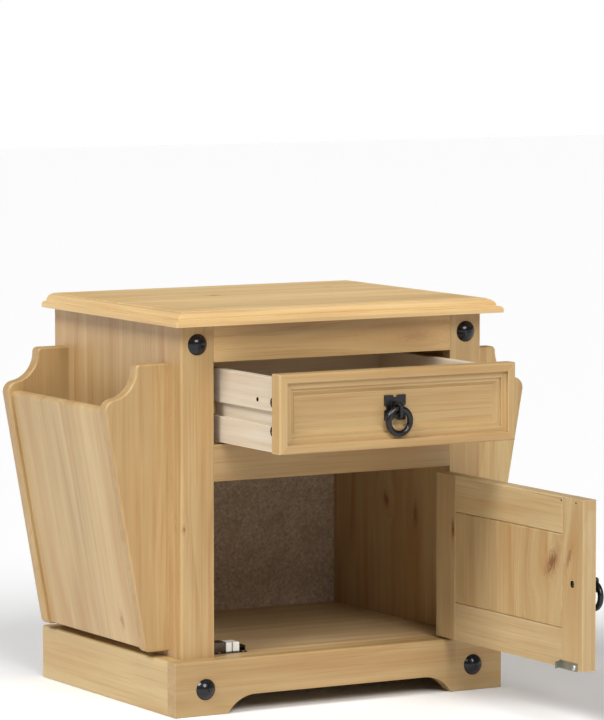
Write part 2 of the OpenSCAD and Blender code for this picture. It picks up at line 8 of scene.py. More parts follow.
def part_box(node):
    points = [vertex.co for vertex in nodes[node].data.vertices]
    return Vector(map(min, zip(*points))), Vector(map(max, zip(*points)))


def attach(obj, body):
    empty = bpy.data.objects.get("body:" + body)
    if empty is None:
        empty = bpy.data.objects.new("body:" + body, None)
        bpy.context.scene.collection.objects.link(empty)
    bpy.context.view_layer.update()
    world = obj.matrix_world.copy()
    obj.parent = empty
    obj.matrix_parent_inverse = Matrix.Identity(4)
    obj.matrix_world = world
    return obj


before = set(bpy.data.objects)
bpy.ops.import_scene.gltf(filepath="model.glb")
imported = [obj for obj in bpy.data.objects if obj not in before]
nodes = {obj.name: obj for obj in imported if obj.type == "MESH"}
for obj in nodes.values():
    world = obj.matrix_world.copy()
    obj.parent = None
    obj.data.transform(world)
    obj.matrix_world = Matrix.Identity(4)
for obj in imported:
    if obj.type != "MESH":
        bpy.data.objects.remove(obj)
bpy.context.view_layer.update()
MM = 0.001


# ------------------------------------------------------------------ node helpers

class Tree:
    """A material's node tree, with short calls for the nodes used here."""

    def __init__(self, name):
        self.mat = bpy.data.materials.new(name)
        self.mat.use_nodes = True
        self.nt = self.mat.node_tree
        self.nt.nodes.clear()
        self.out = self.nt.nodes.new("ShaderNodeOutputMaterial")
        self.bsdf = self.nt.nodes.new("ShaderNodeBsdfPrincipled")
        self.nt.links.new(self.bsdf.outputs[0], self.out.inputs[0])

    def node(self, kind, **props):
        n = self.nt.nodes.new(kind)
        for key, value in props.items():
            setattr(n, key, value)
        return n

    def feed(self, socket, value):
        if isinstance(value, bpy.types.NodeSocket):
            self.nt.links.new(value, socket)
        else:
            socket.default_value = value

    def math(self, op, a, b=0.0, c=None):
        n = self.node("ShaderNodeMath", operation=op)
        self.feed(n.inputs[0], a)
        self.feed(n.inputs[1], b)
        if c is not None:
            self.feed(n.inputs[2], c)
        return n.outputs[0]

    def vec(self, op, a, b=(0, 0, 0)):
        n = self.node("ShaderNodeVectorMath", operation=op)
        self.feed(n.inputs[0], a)
        if op == "SCALE":
            self.feed(n.inputs["Scale"], b)
        else:
            self.feed(n.inputs[1], b)
        return n.outputs["Value"] if op == "DOT_PRODUCT" else n.outputs[0]

    def xyz(self, v):
        n = self.node("ShaderNodeSeparateXYZ")
        self.feed(n.inputs[0], v)
        return n.outputs

    def join(self, x, y, z):
        n = self.node("ShaderNodeCombineXYZ")
        for socket, value in zip(n.inputs, (x, y, z)):
            self.feed(socket, value)
        return n.outputs[0]

    def noise(self, v, scale, w=0.0, detail=2.0, rough=0.5):
        n = self.node("ShaderNodeTexNoise", noise_dimensions="4D")
        self.feed(n.inputs["Vector"], v)
        self.feed(n.inputs["W"], w)
        self.feed(n.inputs["Scale"], scale)
        self.feed(n.inputs["Detail"], detail)
        self.feed(n.inputs["Roughness"], rough)
        return n.outputs[0]

    def streaks(self, spots, w, detail=1.0, rough=0.5):
        """Noise stretched over a board: spots pairs each coordinate with its size in mm."""
        scaled = [self.math("DIVIDE", value, size) for value, size in spots]
        scaled += [0.0] * (3 - len(scaled))
        return self.noise(self.join(*scaled), 1.0, w, detail, rough)

    def ramp(self, fac, stops):
        n = self.node("ShaderNodeValToRGB")
        while len(n.color_ramp.elements) < len(stops):
            n.color_ramp.elements.new(0.5)
        for element, (at, colour) in zip(n.color_ramp.elements, stops):
            element.position = at
            element.color = (*colour, 1.0)
        self.feed(n.inputs[0], fac)
        return n.outputs[0]

    def grade(self, value, lo, hi, to_lo=0.0, to_hi=1.0, smooth=False):
        n = self.node("ShaderNodeMapRange")
        if smooth:
            n.interpolation_type = "SMOOTHSTEP"
        for socket, v in zip(n.inputs[:5], (value, lo, hi, to_lo, to_hi)):
            self.feed(socket, v)
        return n.outputs[0]

    def mix(self, fac, a, b, mode="MIX"):
        n = self.node("ShaderNodeMix", data_type="RGBA", blend_type=mode)
        for socket, v in zip((n.inputs[0], n.inputs[6], n.inputs[7]), (fac, a, b)):
            if not isinstance(v, bpy.types.NodeSocket) and not isinstance(v, float):
                v = (*v, 1.0)
            self.feed(socket, v)
        return n.outputs[2]

    def bump(self, height, strength, distance):
        n = self.node("ShaderNodeBump")
        self.feed(n.inputs["Height"], height)
        n.inputs["Strength"].default_value = strength
        n.inputs["Distance"].default_value = distance
        return n.outputs[0]

    def edge_mask(self, radius):
        """1 along a piece's outer edges, from how far a rounded normal leans away."""
        bevel = self.node("ShaderNodeBevel", samples=4)
        bevel.inputs["Radius"].default_value = radius
        geo = self.node("ShaderNodeNewGeometry")
        same = self.vec("DOT_PRODUCT", bevel.outputs[0], geo.outputs["Normal"])
        return self.grade(same, 0.99, 0.8)


def srgb(r, g, b):
    """0-255 screen values as linear colour."""
    def one(c):
        c /= 255.0
        return c / 12.92 if c <= 0.04045 else ((c + 0.055) / 1.055) ** 2.4
    return (one(r), one(g), one(b))


# ------------------------------------------------------------------ wood

EARLY = srgb(190, 162, 115)
MIDDLE = srgb(180, 149, 101)
LATE = srgb(160, 114, 62)
KNOT = srgb(112, 62, 32)
KNOT_RING = srgb(158, 108, 62)
# Darkest of the broad stripes, part of the way from MIDDLE to LATE
STRIPE = tuple(0.6 * m + 0.4 * l for m, l in zip(MIDDLE, LATE))
# How much brighter the painted highlight along the edges, with wax rubbed there, is than the early wood
EDGE_WEAR_AND_HIGHLIGHT_GAIN = 1.16


def planks(t, wid, boards, seed):
    """For each point: a value from 0 to 1 for its plank, the shift in mm of that plank's
    grain, and 1 on the glued joints. boards is the planks' width, 0 for one plank."""
    if not boards:
        return 0.5, 0.0, 0.0
    cells = t.math("DIVIDE", t.math("ADD", wid, 1000.0 + 37.0 * seed), boards)
    random = t.node("ShaderNodeTexWhiteNoise", noise_dimensions="1D")
    t.feed(random.inputs["W"], t.math("ADD", t.math("FLOOR", cells), seed * 7.3))
    value = random.outputs["Value"]
    place = t.math("FRACT", cells)
    nearest = t.math("MINIMUM", place, t.math("SUBTRACT", 1.0, place))
    joint = t.grade(t.math("MULTIPLY", nearest, boards), 0.5, 0.15)
    return value, t.math("MULTIPLY", value, 900.0), joint


def knot_field(t, lng, wid, knots, seed):
    """How far the knots push the growth rings aside in mm, and how strongly their dark
    hearts and the rings round them show."""
    bulge, heart, halo = 0.0, 0.0, 0.0
    for at_long, at_wide, half_long, half_wide, strength, *turned in knots:
        turn = math.radians(turned[0]) if turned else 0.0
        du, dv = t.math("SUBTRACT", lng, at_long), t.math("SUBTRACT", wid, at_wide)
        wobble = t.streaks([(lng, 7.0), (wid, 2.8)], seed + at_long, 3.0, 0.65)
        wobble = t.math("SUBTRACT", wobble, 0.5)
        u = t.math("ADD", t.math("MULTIPLY", du, math.cos(turn) / half_long),
                   t.math("MULTIPLY", dv, math.sin(turn) / half_long))
        v = t.math("ADD", t.math("MULTIPLY", dv, math.cos(turn) / half_wide),
                   t.math("MULTIPLY", du, -math.sin(turn) / half_wide))
        u, v = t.math("MULTIPLY_ADD", wobble, 1.6, u), t.math("MULTIPLY_ADD", wobble, 2.2, v)
        r2 = t.math("ADD", t.math("MULTIPLY", u, u), t.math("MULTIPLY", v, v))
        r = t.math("SQRT", r2)
        side = t.math("MULTIPLY", v, t.math("POWER", 2.718, t.math("MULTIPLY", r2, -0.16)))
        bulge = t.math("MULTIPLY_ADD", side, -1.15 * half_wide, bulge)
        heart = t.math("MAXIMUM", heart, t.math("MULTIPLY", t.grade(r, 0.85, 0.3), strength))
        lines = t.grade(t.math("SINE", t.math("MULTIPLY", r, 9.0)), -0.6, 1.0, 0.35, 1.0)
        around = t.math("MULTIPLY", t.grade(r, 2.1, 0.5, smooth=True), lines)
        halo = t.math("MAXIMUM", halo, t.math("MULTIPLY", around, strength))
    return bulge, heart, halo


def growth_rings(t, lng, wide, dep, seed, ring, shown):
    """How dark the growth rings are, about ring mm apart. They are circles round a pith
    that lies outside the plank, drifts slowly along it and is swayed by noise."""
    sway = t.streaks([(lng, 520.0), (wide, 150.0), (dep, 200.0)], seed * 3.1, 2.0)
    sway = t.math("MULTIPLY", t.math("SUBTRACT", sway, 0.5), 75.0)
    fine = t.streaks([(lng, 160.0), (wide, 24.0)], seed + 5.0)
    fine = t.math("MULTIPLY", t.math("SUBTRACT", fine, 0.5), 9.0)
    drift = t.streaks([(lng, 900.0)], seed + 11.0, 0.0)
    pith_wide = t.math("MULTIPLY_ADD", drift, 160.0, -80.0 + 40.0 * math.sin(seed * 2.4))
    x = t.math("ADD", t.math("ADD", wide, sway), fine)
    x = t.math("SUBTRACT", t.math("PINGPONG", t.math("ADD", x, pith_wide), 70.0), 20.0)
    y = t.math("ADD", dep, 34.0 + 12.0 * math.sin(seed * 5.1))
    radius = t.math("SQRT", t.math("ADD", t.math("MULTIPLY", x, x), t.math("MULTIPLY", y, y)))
    turns = t.math("DIVIDE", t.math("ADD", radius, t.math("MULTIPLY", lng, 0.012)), ring)
    uneven = t.noise(t.join(t.math("MULTIPLY", turns, 0.45), t.math("DIVIDE", lng, 900.0), 0.0),
                     1.0, w=seed + 2.0, detail=1.0)
    phase = t.math("FRACT", t.math("MULTIPLY_ADD", uneven, 2.4, turns))
    darkness = ((0.0, 0.0), (0.5, 0.22), (0.78, 0.75), (0.86, 1.0), (0.93, 0.25), (1.0, 0.0))
    rings = t.ramp(phase, [(at, (dark,) * 3) for at, dark in darkness])
    # each stretch of the wood shows its rings more or less
    strength = t.streaks([(lng, 300.0), (wide, 38.0)], seed + 8.0, 2.0)
    strength = t.grade(strength, 0.42, 0.68, 0.06, 1.0)
    return t.math("MULTIPLY", rings, t.math("MULTIPLY", strength, shown))


def pine(name, along, across, seed, tone=1.0, boards=0.0, knots=(), contrast=1.0,
         tint=(1.0, 1.0, 1.0), lean=0.0, ring=7.0, gloss=0.42, shine=0.4):
    """Waxed pine. along and across are the axes of the grain and of the board's width;
    boards is the width in mm of the planks glued into it, 0 for one plank. A knot is
    (place along, place across, half length, half width, strength), in mm, and may end with
    the angle in degrees that it is turned by. lean is how far the board slants in depth for
    each mm along it. gloss is the roughness and shine the specular level."""
    t = Tree(name)
    coord = t.node("ShaderNodeTexCoord").outputs["Object"]
    p = t.xyz(t.vec("SCALE", coord, 1000.0))
    along_i, across_i = "xyz".index(along), "xyz".index(across)
    lng, wid, dep = p[along_i], p[across_i], p[3 - along_i - across_i]
    if lean:
        dep = t.math("MULTIPLY_ADD", lng, lean, dep)
    rnd, shift, joint = planks(t, wid, boards, seed)
    bulge, heart, halo = knot_field(t, lng, wid, knots, seed)
    wide = t.math("ADD", t.math("ADD", wid, bulge), shift)
    rings = growth_rings(t, lng, wide, dep, seed, ring, 0.8 * contrast)

    # broad soft stripes of tone, and short fine fibres
    stripe = t.streaks([(lng, 520.0), (wide, 21.0), (dep, 40.0)], seed + 1.0, 3.5, 0.6)
    fibre = t.streaks([(lng, 26.0), (wid, 0.9), (dep, 0.9)], seed, 2.0, 0.6)
    base = t.ramp(t.grade(stripe, 0.3, 0.7), [(0.0, EARLY), (0.55, MIDDLE), (1.0, STRIPE)])
    colour = t.mix(rings, base, LATE)
    streak = t.streaks([(lng, 150.0), (wide, 2.6), (dep, 8.0)], seed + 31.0)
    colour = t.mix(t.math("MULTIPLY", t.grade(streak, 0.5, 0.75), 0.5 * contrast), colour, LATE)
    colour = t.mix(t.math("MULTIPLY", t.grade(fibre, 0.45, 0.75), 0.16 * contrast), colour, LATE)
    blotch = t.streaks([(lng, 150.0), (wide, 60.0)], seed + 21.0, 3.0)
    light = t.grade(blotch, 0.3, 0.7, 0.955, 1.045)
    if boards:
        light = t.math("MULTIPLY", light, t.grade(rnd, 0.0, 1.0, 0.93, 1.06))
    if knots:
        colour = t.mix(t.math("MULTIPLY", halo, 0.62), colour, KNOT_RING)
        colour = t.mix(heart, colour, KNOT)
    if boards:
        colour = t.mix(t.math("MULTIPLY", joint, 0.45), colour, LATE)
    # tone and tint scale the board's colour; on many boards they paint in light and shade
    scale = t.math("MULTIPLY", light, tone)
    shade = t.join(t.math("MULTIPLY", scale, tint[0]), t.math("MULTIPLY", scale, tint[1]),
                   t.math("MULTIPLY", scale, tint[2]))
    colour = t.mix(1.0, colour, shade, "MULTIPLY")
    # edges: a painted highlight along the arrises, together with wax rubbed lighter and warmer by handling
    edge_wear_and_highlight = t.math("MULTIPLY", t.edge_mask(0.0022), t.grade(fibre, 0.3, 0.7, 0.4, 0.8))
    edge_wear_and_highlight_tone = tuple(min(1.0, EDGE_WEAR_AND_HIGHLIGHT_GAIN * v * k * tone) for v, k in zip(EARLY, tint))
    colour = t.mix(edge_wear_and_highlight, colour, edge_wear_and_highlight_tone)
    t.feed(t.bsdf.inputs["Base Color"], colour)
    rough = t.math("ADD", t.grade(fibre, 0.3, 0.7, gloss - 0.05, gloss + 0.06),
                   t.math("MULTIPLY", rings, -0.07))
    t.feed(t.bsdf.inputs["Roughness"], rough)
    t.bsdf.inputs["Specular IOR Level"].default_value = shine
    t.bsdf.inputs["Coat Weight"].default_value = 0.25 * shine
    t.bsdf.inputs["Coat Roughness"].default_value = 0.3
    rise = t.math("ADD", t.math("MULTIPLY", fibre, 0.35), t.math("MULTIPLY", rings, 0.5))
    rise = t.math("SUBTRACT", rise, t.math("MULTIPLY", joint, 0.8))
    t.feed(t.bsdf.inputs["Normal"], t.bump(rise, 0.28, 0.00025))
    return t.mat


def paint(name, colour, rough, metal=0.0, speckle=0.06, grain=320.0, bump=0.25, depth=0.0002,
          spec=0.5, worn=None, wear=0.0):
    """A plain surface with fine mottling, and worn edges where wear isn't 0."""
    t = Tree(name)
    coord = t.node("ShaderNodeTexCoord").outputs["Object"]
    mottle = t.noise(coord, grain, detail=3.0, rough=0.6)
    broad = t.noise(coord, grain / 9.0, w=4.0, detail=2.0)
    light = t.math("ADD", t.grade(mottle, 0.3, 0.7, 1.0 - speckle, 1.0 + speckle),
                   t.grade(broad, 0.3, 0.7, -speckle / 2, speckle / 2))
    tone = t.mix(1.0, colour, t.join(light, light, light), "MULTIPLY")
    if wear:
        edge = t.math("MULTIPLY", t.edge_mask(0.0008), t.grade(mottle, 0.4, 0.65, 0.0, wear))
        tone = t.mix(edge, tone, worn)
    t.feed(t.bsdf.inputs["Base Color"], tone)
    t.feed(t.bsdf.inputs["Roughness"], t.grade(mottle, 0.3, 0.7, rough - 0.05, rough + 0.07))
    t.bsdf.inputs["Metallic"].default_value = metal
    t.bsdf.inputs["Specular IOR Level"].default_value = spec
    t.feed(t.bsdf.inputs["Normal"], t.bump(mottle, bump, depth))
    return t.mat


def hardboard():
    """The rough brown back: pressed fibres in short pale and dark flecks."""
    t = Tree("hardboard")
    coord = t.node("ShaderNodeTexCoord").outputs["Object"]
    fleck = t.noise(coord, 260.0, detail=4.0, rough=0.7)
    cloud = t.noise(coord, 34.0, w=3.0, detail=3.0, rough=0.6)
    weave = t.node("ShaderNodeTexVoronoi", feature="DISTANCE_TO_EDGE")
    wobble = t.vec("SCALE", t.join(cloud, fleck, cloud), 0.004)
    t.feed(weave.inputs["Vector"], t.vec("ADD", coord, wobble))
    weave.inputs["Scale"].default_value = 420.0
    colour = t.ramp(fleck, [(0.3, srgb(148, 130, 112)), (0.52, srgb(192, 172, 148)),
                            (0.72, srgb(226, 208, 184))])
    colour = t.mix(t.grade(cloud, 0.35, 0.7, 0.0, 0.45), colour, srgb(158, 132, 108))
    scuff = t.noise(coord, 15.0, w=9.0, detail=5.0, rough=0.75)
    colour = t.mix(t.grade(scuff, 0.62, 0.72, 0.0, 0.4), colour, srgb(228, 210, 188))
    t.feed(t.bsdf.inputs["Base Color"], colour)
    t.feed(t.bsdf.inputs["Roughness"], t.grade(fleck, 0.3, 0.7, 0.78, 0.92))
    t.bsdf.inputs["Specular IOR Level"].default_value = 0.25
    rise = t.math("ADD", fleck, t.grade(weave.outputs["Distance"], 0.0, 0.15, 0.0, 0.4))
    t.feed(t.bsdf.inputs["Normal"], t.bump(rise, 0.6, 0.0006))
    return t.mat


# ------------------------------------------------------------------ which wood goes where

# How far the racks' slanting panels lean in for each mm of height
RACK_LEAN = 0.181
# painted light: the edging's tint, with its tones below, makes the lit top edging paler and brighter
EDGING = dict(contrast=0.8, tint=(1.0, 1.03, 1.08))
# painted light: the plinth's sides are made brighter and paler than its front
PLINTH_SIDE = dict(along="y", across="z", tone=1.04, tint=(1.0, 1.08, 1.12), contrast=0.8)
# tone and tint were set board by board for how each board is lit, so they paint light and shade into the
# wood
PINE = {
    # painted light and reflection: tone and tint make the top bright and pale, as lit from above with a
    # white sheen
    "top_panel": dict(along="x", across="y", seed=1.0, boards=74.0, contrast=0.9, gloss=0.55,
                      shine=0.12, tone=1.46, tint=(1.0, 1.08, 1.22),
                      knots=[(-60, 40, 12, 6, 0.6), (140, 95, 9, 5, 0.5)]),
    "top_edging_front": dict(along="x", across="y", seed=2.0, tone=1.42, **EDGING),
    "top_edging_left": dict(along="y", across="x", seed=3.0, tone=1.32, **EDGING),
    "top_edging_right": dict(along="y", across="x", seed=4.0, tone=1.32, **EDGING),
    "left_side_panel": dict(along="z", across="y", seed=5.0, boards=82.0, tone=1.05, tint=(1.0, 1.0, 1.06),
                            knots=[(150, 120, 13, 7, 0.7)]),
    "right_side_panel": dict(along="z", across="y", seed=6.0, boards=82.0,
                             knots=[(220, 42, 14, 9, 0.8, 20), (208, -32, 22, 8, 0.7)]),
    "left_stile": dict(along="z", across="x", seed=7.0, tone=0.95, knots=[(230, -213, 5, 2.5, 0.8)]),
    "right_stile": dict(along="z", across="x", seed=8.0),
    # painted light: tone 1.2 lifts the top rail out of the shade under the top's overhang
    "top_rail": dict(along="x", across="z", seed=9.0, tone=1.2, knots=[(120, 455, 34, 9, 0.25)]),
    # painted shade: tone 0.82 darkens the middle rail as in the open drawer's shadow
    "middle_rail": dict(along="x", across="z", seed=10.0, tone=0.82),
    "bottom_rail": dict(along="x", across="z", seed=11.0),
    "rear_top_rail": dict(along="x", across="z", seed=12.0),
    "compartment_floor": dict(along="x", across="y", seed=13.0, boards=80.0, gloss=0.5, tone=1.15,
                              tint=(1.0, 1.1, 1.35)),
    "top_battens": dict(along="y", across="z", seed=14.0),
    "left_drawer_runner": dict(along="y", across="z", seed=15.0),
    "right_drawer_runner": dict(along="y", across="z", seed=16.0),
    # painted shade: the plinth front is toned darker than its sides
    "plinth_front": dict(along="x", across="z", seed=17.0, tone=0.86, contrast=0.8),
    "plinth_left": dict(seed=18.0, **PLINTH_SIDE),
    "plinth_right": dict(seed=19.0, **PLINTH_SIDE),
    "plinth_back": dict(along="x", across="z", seed=20.0),
    # painted shade: the left rack's cheeks are toned darker
    "left_rack_front_cheek": dict(along="z", across="x", seed=21.0, tone=0.94, contrast=0.85),
    "left_rack_back_cheek": dict(along="z", across="x", seed=22.0, tone=0.94, contrast=0.85),
    # painted light: the left rack's panel is toned brighter and paler, as where the light falls
    "left_rack_panel": dict(along="z", across="y", seed=23.0, boards=96.0, tone=1.06,
                            tint=(0.98, 1.03, 1.12), contrast=0.7, lean=RACK_LEAN,
                            knots=[(108, -67, 14, 6, 0.5)]),
    "left_rack_floor": dict(along="y", across="x", seed=24.0),
    # painted light: the right rack's cheeks are toned brighter, as where the light falls
    "right_rack_front_cheek": dict(along="z", across="x", seed=25.0, tone=1.12, tint=(1.0, 1.04, 1.04)),
    "right_rack_back_cheek": dict(along="z", across="x", seed=26.0, tone=1.12, tint=(1.0, 1.04, 1.04)),
    "right_rack_panel": dict(along="z", across="y", seed=27.0, boards=96.0, lean=-RACK_LEAN,
                             knots=[(260, 60, 12, 6, 0.6)]),
    "right_rack_floor": dict(along="y", across="x", seed=28.0),
    "drawer_field": dict(along="x", across="z", seed=29.0, ring=10.0),
    "drawer_frame_top": dict(along="x", across="z", seed=30.0, contrast=0.7),
    "drawer_frame_bottom": dict(along="x", across="z", seed=31.0, contrast=0.7),
    "drawer_frame_left": dict(along="z", across="x", seed=32.0, contrast=0.7),
    "drawer_frame_right": dict(along="z", across="x", seed=33.0, contrast=0.7),
    # painted light and shade: the hinge stile and panel are darker as in the drawer's shade, the free
    # stile and rails paler as where lit
    "door_hinge_stile": dict(along="z", across="y", seed=34.0, tone=0.88, tint=(1.0, 1.04, 1.14),
                             knots=[(211, -203, 16, 5, 0.9)]),
    "door_free_stile": dict(along="z", across="y", seed=35.0, tone=1.04, tint=(1.0, 1.1, 1.28),
                            contrast=0.8, knots=[(207, -470, 22, 6, 0.5, -25)]),
    "door_top_rail": dict(along="y", across="z", seed=36.0, tone=1.06, tint=(1.0, 1.1, 1.28),
                          contrast=0.8),
    "door_bottom_rail": dict(along="y", across="z", seed=37.0, tone=0.98, tint=(1.0, 1.08, 1.26),
                             contrast=0.8),
    "door_panel": dict(along="z", across="y", seed=38.0, boards=62.0, tone=0.96, tint=(1.0, 1.05, 1.15),
                       knots=[(198, -433, 27, 13, 0.75, -42)]),
    "door_panel_moulding": dict(along="y", across="z", seed=39.0, contrast=0.7),
}
PALE = dict(contrast=0.4, tint=(1.0, 1.3, 2.3), gloss=0.6, tone=1.32)
PINE.update({
    "drawer_left_side": dict(along="y", across="z", seed=40.0, **PALE),
    "drawer_right_side": dict(along="y", across="z", seed=41.0, **PALE),
    "drawer_back": dict(along="x", across="z", seed=42.0, **PALE),
    "drawer_bottom": dict(along="x", across="y", seed=43.0, **PALE),
})

black_studs = paint("black_studs", srgb(20, 20, 23), 0.18, speckle=0.05, bump=0.05,
                    spec=0.42)
black_iron = paint("black_iron", srgb(14, 13, 14), 0.27, speckle=0.2, grain=420.0, bump=0.4,
                   depth=0.0003, spec=0.5, worn=srgb(70, 67, 64), wear=0.5)
zinc = paint("zinc_steel", srgb(212, 214, 216), 0.36, metal=1.0, speckle=0.05, grain=600.0, bump=0.1)
brass = paint("hinge_brass", srgb(190, 158, 96), 0.3, metal=1.0, speckle=0.06, grain=500.0, bump=0.1)
nylon = paint("nylon", srgb(236, 235, 228), 0.4, speckle=0.02, bump=0.05)
clip_metal = paint("catch_metal", srgb(92, 82, 70), 0.24, metal=1.0, speckle=0.1, grain=500.0,
                   bump=0.15)
strike_metal = paint("strike_metal", srgb(158, 160, 148), 0.34, metal=1.0, speckle=0.1,
                     grain=500.0, bump=0.15)
# painted shade: near-black paint for the insides of bored holes, where they lie in shade
hole_shade_paint = paint("hole_shade_paint", srgb(40, 28, 18), 0.8, speckle=0.1, spec=0.2)

METAL = {
    "front_studs": black_studs,
    "drawer_pull_plate": black_iron, "drawer_pull_ring": black_iron,
    "door_pull_plate": black_iron, "door_pull_ring": black_iron,
    "drawer_pull_bolt": zinc, "door_pull_bolt": zinc, "drawer_cams": zinc,
    "hinge_frame_leaves": brass, "hinge_door_leaves": brass, "hinge_pins": brass,
    "catch_clip": clip_metal, "catch_block": nylon, "door_strike": strike_metal,
    "back_panel": hardboard(),
}

# ------------------------------------------------------------------ dressing the CAD nodes

# Radius in mm of the softened edges, where it isn't the usual one
USUAL_SOFT = 0.7
SOFT = {
    "top_panel": 0.3, "top_edging_front": 0.6, "top_edging_left": 0.6, "top_edging_right": 0.6,
    "drawer_frame_top": 0.3, "drawer_frame_bottom": 0.3, "drawer_frame_left": 0.3,
    "drawer_frame_right": 0.3, "drawer_field": 0.3,
    "left_rack_front_cheek": 2.6, "left_rack_back_cheek": 2.6,
    "right_rack_front_cheek": 2.6, "right_rack_back_cheek": 2.6,
    "door_hinge_stile": 1.2, "door_free_stile": 1.2, "door_top_rail": 0.6, "door_bottom_rail": 0.6,
    "drawer_left_side": 0.9, "drawer_right_side": 0.9, "drawer_back": 0.9,
    "drawer_pull_plate": 0.5, "door_pull_plate": 0.5, "catch_clip": 0.4, "catch_block": 0.8,
    "door_strike": 0.3, "hinge_frame_leaves": 0.15, "hinge_door_leaves": 0.15,
    "drawer_cams": 0.6, "drawer_pull_bolt": 0.8, "door_pull_bolt": 0.8,
    "plinth_front": 0.8, "plinth_left": 0.8, "plinth_right": 0.8,
}
# Rounded already, or rough: these keep the edges they have
LEFT_SHARP = ("drawer_pull_ring", "door_pull_ring", "front_studs", "hinge_pins", "back_panel")
# Edges that turn by more than this are sharp
SHARP_TURN = math.radians(32)


def edges_to_soften(name, off_side=0.0, shortest=0.0):
    """Marks the edges that a Bevel rounds: the sharp ones whose middle is farther from the
    x = 0 plane than off_side and that are longer than shortest, both in mm."""
    group = bpy.data.node_groups.new(name, "GeometryNodeTree")
    group.interface.new_socket("Geometry", in_out="INPUT", socket_type="NodeSocketGeometry")
    group.interface.new_socket("Geometry", in_out="OUTPUT", socket_type="NodeSocketGeometry")
    add, link = group.nodes.new, group.links.new
    start, end = add("NodeGroupInput"), add("NodeGroupOutput")

    def more_than(socket, limit):
        test = add("ShaderNodeMath")
        test.operation = "GREATER_THAN"
        test.inputs[1].default_value = limit
        link(socket, test.inputs[0])
        return test.outputs[0]

    def both(a, b):
        product = add("ShaderNodeMath")
        product.operation = "MULTIPLY"
        link(a, product.inputs[0])
        link(b, product.inputs[1])
        return product.outputs[0]

    place = add("ShaderNodeSeparateXYZ")
    link(add("GeometryNodeInputPosition").outputs[0], place.inputs[0])
    off = add("ShaderNodeMath")
    off.operation = "ABSOLUTE"
    link(place.outputs[0], off.inputs[0])
    ends = add("GeometryNodeInputMeshEdgeVertices")
    length = add("ShaderNodeVectorMath")
    length.operation = "DISTANCE"
    link(ends.outputs["Position 1"], length.inputs[0])
    link(ends.outputs["Position 2"], length.inputs[1])
    turn = add("GeometryNodeInputMeshEdgeAngle").outputs["Unsigned Angle"]
    sharp = more_than(turn, SHARP_TURN)
    chosen = both(sharp, both(more_than(off.outputs[0], off_side * MM),
                              more_than(length.outputs["Value"], shortest * MM)))
    store = add("GeometryNodeStoreNamedAttribute")
    store.domain = "EDGE"
    store.inputs["Name"].default_value = "bevel_weight_edge"
    link(start.outputs[0], store.inputs["Geometry"])
    link(chosen, store.inputs["Value"])
    link(store.outputs[0], end.inputs[0])
    return group


side_face = abs(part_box("left_side_panel")[0][0]) / MM
cheek_edges = edges_to_soften("cheek_edges", off_side=side_face + 0.3)
long_edges = edges_to_soften("long_edges", shortest=3.0)


def dress(name, ob):
    """Gives a CAD node its material and softens its edges with modifiers."""
    mat = METAL.get(name) or pine("pine_" + name, **PINE[name])
    for ob_slot in ob.material_slots:
        ob_slot.material = mat
    if not ob.material_slots:
        ob.data.materials.append(mat)
    if name in LEFT_SHARP:
        return
    width = SOFT.get(name, USUAL_SOFT)
    weld = ob.modifiers.new("weld", "WELD")
    weld.merge_threshold = 0.00002
    flat = ob.modifiers.new("flat", "DECIMATE")
    flat.decimate_type = "DISSOLVE"
    flat.angle_limit = math.radians(0.6)
    chosen = None
    if name.endswith("_cheek"):
        chosen = cheek_edges
    elif name.startswith("door_"):
        chosen = long_edges
    if chosen:
        weigh = ob.modifiers.new("weigh", "NODES")
        weigh.node_group = chosen
    bevel = ob.modifiers.new("soften", "BEVEL")
    bevel.width = width * MM
    bevel.segments = 3 if width >= 1.0 else 2
    bevel.limit_method = "WEIGHT" if chosen else "ANGLE"
    bevel.angle_limit = SHARP_TURN
    bevel.harden_normals = True
    bevel.miter_outer = "MITER_ARC"


for node_name, node_object in nodes.items():
    dress(node_name, node_object)

# ------------------------------------------------------------------ screws

def mesh_object(name, build, material):
    """A new object in the scene, whose mesh build makes."""
    mesh = bpy.data.meshes.new(name)
    bm = bmesh.new()
    build(bm)
    bm.to_mesh(mesh)
    bm.free()
    mesh.materials.append(material)
    ob = bpy.data.objects.new(name, mesh)
    bpy.context.scene.collection.objects.link(ob)
    return ob


def lathe(bm, outline, steps=28):
    """Turns (radius, height) points about Z into a closed skin."""
    rings = []
    for radius, height in outline:
        if radius == 0:
            rings.append([bm.verts.new((0, 0, height))])
        else:
            rings.append([bm.verts.new((radius * math.cos(2 * math.pi * k / steps),
                                        radius * math.sin(2 * math.pi * k / steps), height))
                          for k in range(steps)])
    for low, high in zip(rings, rings[1:]):
        for k in range(steps):
            n = (k + 1) % steps
            if len(low) == 1:
                bm.faces.new((low[0], high[n], high[k]))
            elif len(high) == 1:
                bm.faces.new((low[k], low[n], high[0]))
            else:
                bm.faces.new((low[k], low[n], high[n], high[k]))
    for face in bm.faces:
        face.smooth = True


def stand(ob, place, way, turn=0.0):
    """Moves a mesh made about Z to place, in mm, with its Z axis along way."""
    tilt = Vector(way).to_track_quat("Z", "Y").to_matrix().to_4x4()
    spin = Matrix.Rotation(turn, 4, "Z")
    ob.data.transform(Matrix.Translation(Vector(place) * MM) @ tilt @ spin)


